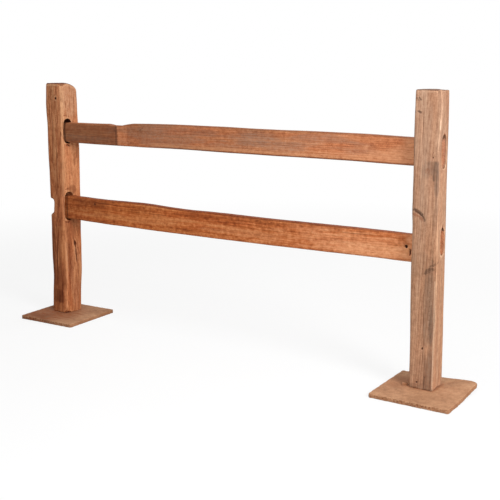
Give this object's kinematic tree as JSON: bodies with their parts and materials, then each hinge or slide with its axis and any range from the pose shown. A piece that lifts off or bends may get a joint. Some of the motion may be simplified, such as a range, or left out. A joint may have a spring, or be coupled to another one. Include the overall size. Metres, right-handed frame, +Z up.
{
  "type": "split rail fence bay",
  "caption": "Free-standing bay of split rail fence: hewn mortised posts on square base plates carry tapered split rails in round-ended slots.",
  "frame": {"origin": "on the ground, at the middle of the two base plates together", "axes": "+X along the fence to the right as seen from its front, +Y to its back, +Z up"},
  "size_m": [2.1534, 0.3244, 1.101],
  "materials": {
    "left_post_wood": "weathered, rough hewn",
    "right_post_wood": "pale, weathered, rough sawn",
    "upper_rail_wood": "red-brown, split and worn",
    "lower_rail_wood": "red-brown, split and worn",
    "plate_board": "dull, dusty board"
  },
  "bodies": {
    "root": {"left_post": "left_post_wood", "right_post": "right_post_wood", "upper_rail": "upper_rail_wood", "lower_rail": "lower_rail_wood", "left_base_plate": "plate_board", "right_base_plate": "plate_board"}
  },
  "joints": []
}
